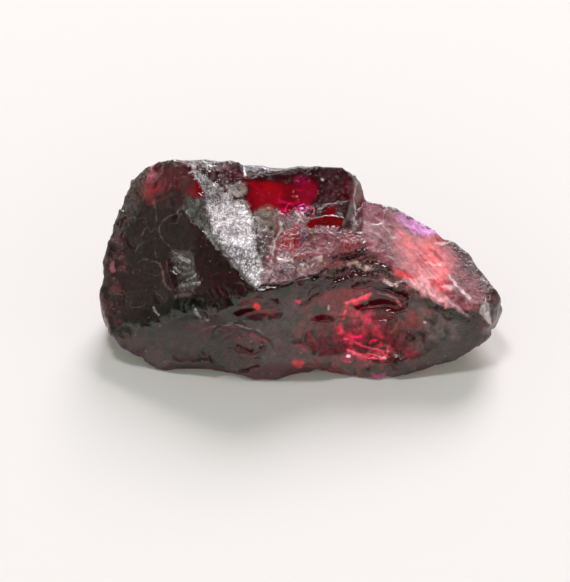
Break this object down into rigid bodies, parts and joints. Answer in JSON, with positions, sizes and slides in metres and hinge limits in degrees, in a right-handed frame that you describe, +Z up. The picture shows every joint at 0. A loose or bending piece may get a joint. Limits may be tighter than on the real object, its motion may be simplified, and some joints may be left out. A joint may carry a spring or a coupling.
{
  "type": "painite crystal",
  "caption": "Broken piece of dark red painite rough, blocky at one end and wedge-shaped at the other, with conchoidal fractures, lying on a flat underside.",
  "frame": {"origin": "middle of the box on the surface that the stone rests on", "axes": "+X along the long way towards the thin nose, -Y towards the front, +Z up"},
  "size_m": [0.04, 0.019, 0.0141],
  "materials": {
    "crystal": "vitreous, dark red, clear in thin places, fracture faces rippled"
  },
  "bodies": {
    "root": {"painite_crystal": "crystal"}
  },
  "joints": []
}
